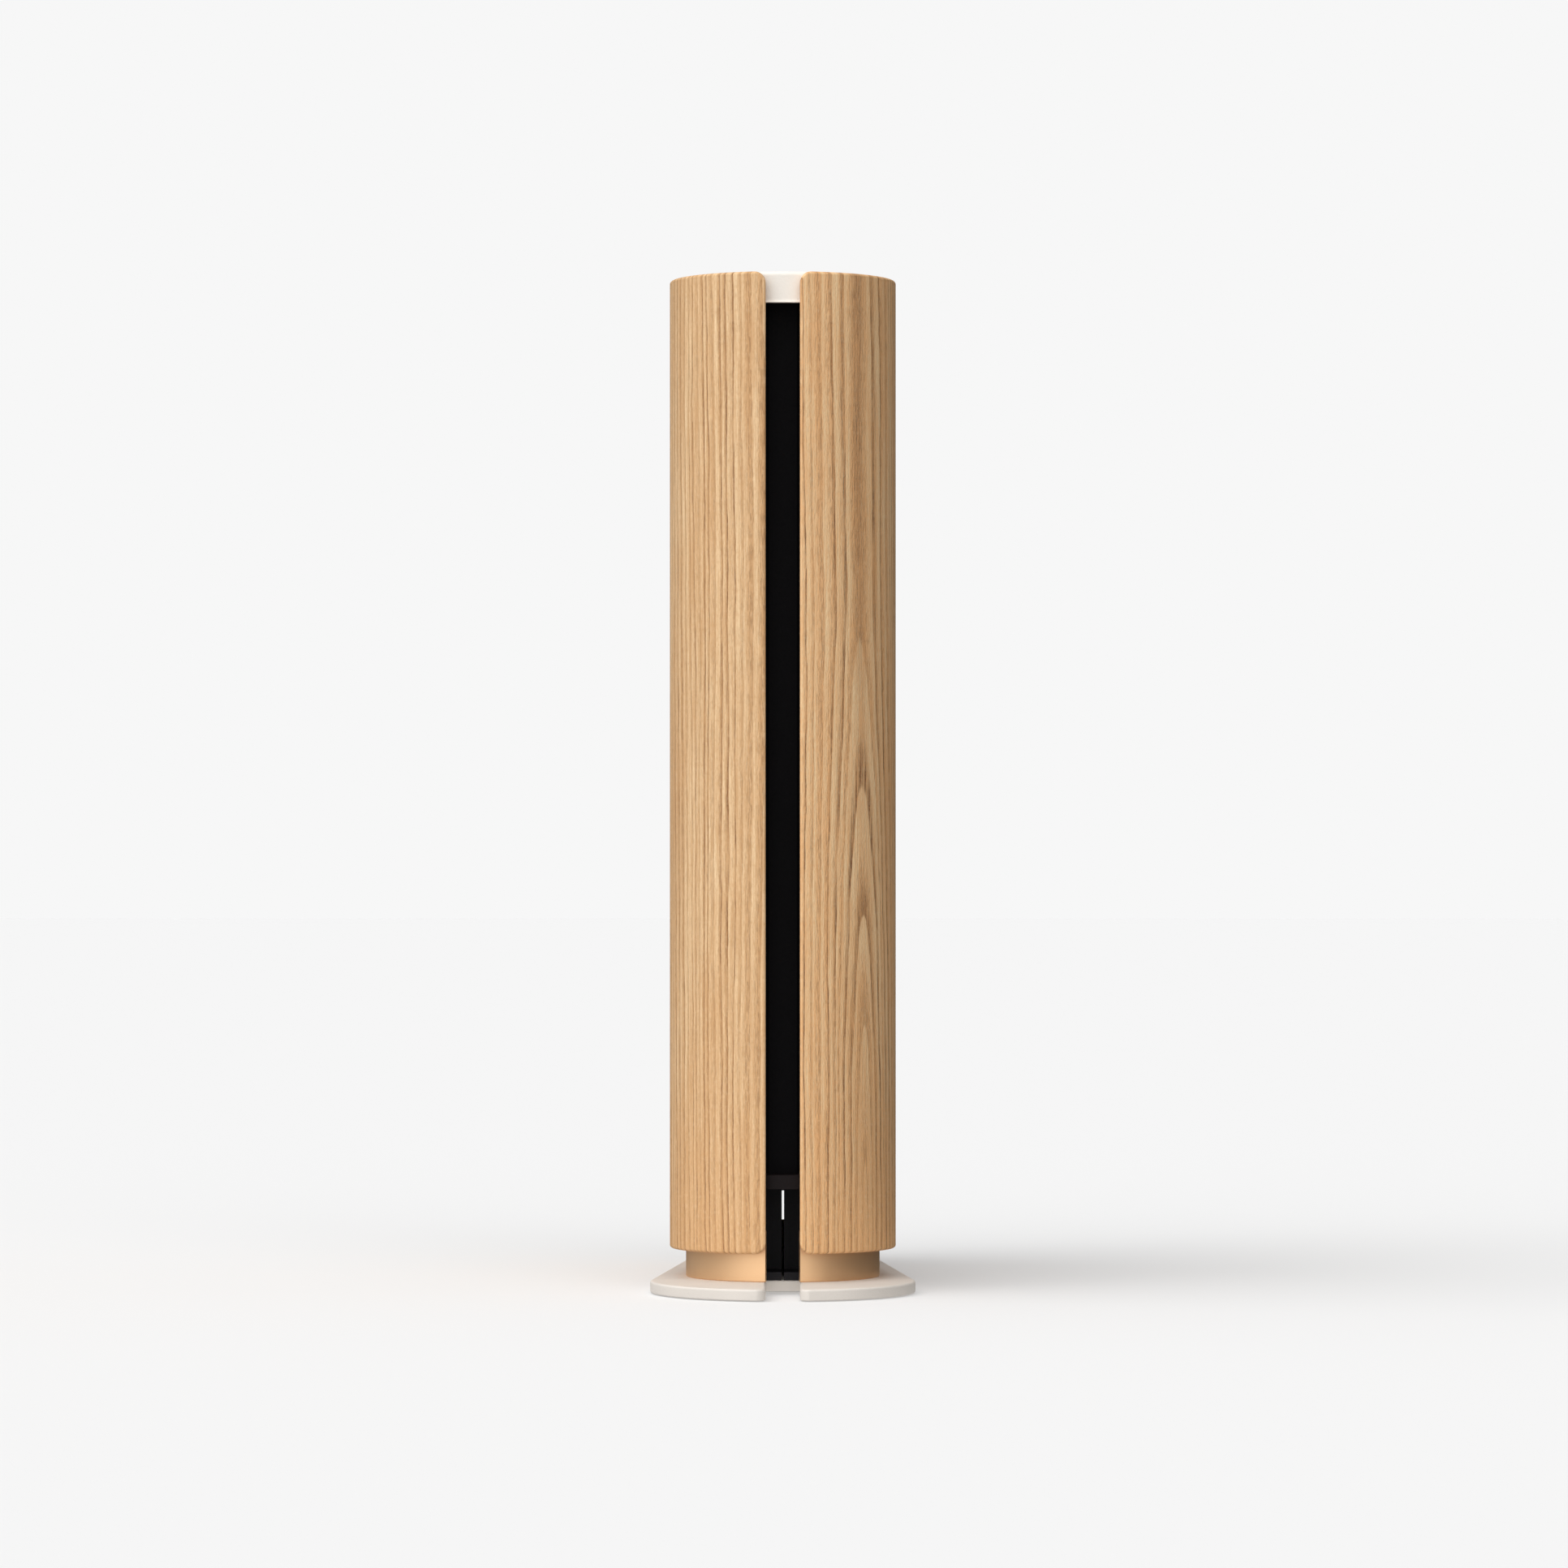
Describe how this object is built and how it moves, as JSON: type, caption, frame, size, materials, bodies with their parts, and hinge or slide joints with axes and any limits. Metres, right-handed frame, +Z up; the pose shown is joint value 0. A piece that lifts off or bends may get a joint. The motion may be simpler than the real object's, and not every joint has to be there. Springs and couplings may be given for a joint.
{
  "type": "wireless speaker",
  "caption": "Slim upright wireless shelf speaker shaped like a half-open book: oak side covers on a gold neck and cream base plate, rear cable slot, knitted front spine, touch top.",
  "frame": {"origin": "centre of the footprint, on the surface that the speaker stands on", "axes": "+Z up; +Y towards the front, where the fabric spine is; -Y the rear with the cable slot; +X the speaker's right-hand side as it faces +Y"},
  "size_m": [0.0664, 0.1645, 0.255],
  "materials": {
    "cream_paint": "fine-grained matt cream powder coat",
    "sole_rubber": "matt black rubber",
    "screw_steel": "zinc-plated steel",
    "gold_anodised": "satin gold anodised, bead blasted",
    "black_moulding": "matt black with fine spark texture",
    "brown_black_moulding": "matt brown-black",
    "plated_steel": "nickel-plated, stamped",
    "circuit_board": "green solder mask over glass fibre board",
    "switch_plastic": "light grey moulded",
    "oak_veneer": "open-pored natural oak with straight and cathedral grain, matt lacquer",
    "cream_moulding": "cream with a fine moulded texture",
    "touch_surface": "smooth satin cream",
    "light_pipe": "translucent white",
    "grille_moulding": "matt dark brown",
    "knit_textile": "warm taupe knitted speaker cloth",
    "enclosure_moulding": "glass-filled dark grey",
    "driver_frame": "black powder-coated pressed steel",
    "magnet_steel": "zinc-plated machined steel",
    "ferrite": "ground ferrite",
    "cone_paper": "pressed fibre",
    "spider_cloth": "resin-dipped woven cloth",
    "coil_copper": "enamelled copper wire",
    "dome_metal": "satin metal dome",
    "heat_spreader_aluminium": "extruded, fine brushed",
    "component_plastic": "moulded and sleeved components",
    "wire_insulation": "PVC insulation"
  },
  "bodies": {
    "body": {"base_plate": "cream_paint", "base_sole": "sole_rubber", "base_screws": "screw_steel", "neck_band": "gold_anodised", "bay_left": "black_moulding", "bay_right": "black_moulding", "bay_screws": "screw_steel", "floor_plate": "brown_black_moulding", "chin_trim": "black_moulding", "power_socket": "plated_steel", "socket_board": "circuit_board", "socket_screws": "screw_steel", "tact_switch": "black_moulding", "mic_switch_body": "black_moulding", "left_cover": "oak_veneer", "right_cover": "oak_veneer", "left_cover_hooks": "black_moulding", "right_cover_hooks": "black_moulding", "rear_channel": "black_moulding", "top_cap": "cream_moulding", "cap_screws": "screw_steel", "touch_plate": "touch_surface", "touch_board": "circuit_board", "status_light": "light_pipe", "mic_meshes": "plated_steel", "grille_frame": "grille_moulding", "grille_fabric": "knit_textile", "bass_enclosure": "enclosure_moulding", "woofer_baffle": "enclosure_moulding", "bass_gasket": "sole_rubber", "baffle_screws": "screw_steel", "woofer_frame": "driver_frame", "woofer_screws": "screw_steel", "woofer_top_plate": "magnet_steel", "woofer_magnet": "ferrite", "woofer_yoke": "magnet_steel", "woofer_surround": "sole_rubber", "woofer_spider": "spider_cloth", "mid_deck": "enclosure_moulding", "top_deck": "enclosure_moulding", "deck_screws": "screw_steel", "upper_enclosure": "enclosure_moulding", "front_baffle": "enclosure_moulding", "front_gasket": "sole_rubber", "midrange_frame": "driver_frame", "midrange_magnet": "magnet_steel", "tweeter_frame": "driver_frame", "tweeter_magnet": "magnet_steel", "driver_screws": "screw_steel", "main_board": "circuit_board", "heat_spreader": "heat_spreader_aluminium", "board_components": "component_plastic", "board_screws": "screw_steel", "wiring": "wire_insulation"},
    "woofer_moving": {"woofer_cone": "cone_paper", "woofer_voice_coil": "coil_copper"},
    "midrange_moving": {"midrange_cone": "cone_paper"},
    "tweeter_moving": {"tweeter_dome": "dome_metal"},
    "button_moving": {"setup_button": "switch_plastic"},
    "mic_moving": {"mic_slider": "switch_plastic"}
  },
  "joints": [
    {"name": "woofer_travel", "type": "slide", "parent": "body", "child": "woofer_moving", "axis": [1, 0, 0], "range_m": [-0.0035, 0.0035], "stiffness_N_per_m": 1500},
    {"name": "midrange_travel", "type": "slide", "parent": "body", "child": "midrange_moving", "axis": [0, 1, 0], "range_m": [-0.0012, 0.0012], "stiffness_N_per_m": 900},
    {"name": "tweeter_travel", "type": "slide", "parent": "body", "child": "tweeter_moving", "axis": [0, 1, 0], "range_m": [-0.0003, 0.0003], "stiffness_N_per_m": 600},
    {"name": "setup_button_press", "type": "slide", "parent": "body", "child": "button_moving", "axis": [1, 0, 0], "range_m": [0, 0.0005], "stiffness_N_per_m": 500},
    {"name": "mic_switch_slide", "type": "slide", "parent": "body", "child": "mic_moving", "axis": [0, 0, 1], "range_m": [0, 0.002]}
  ]
}
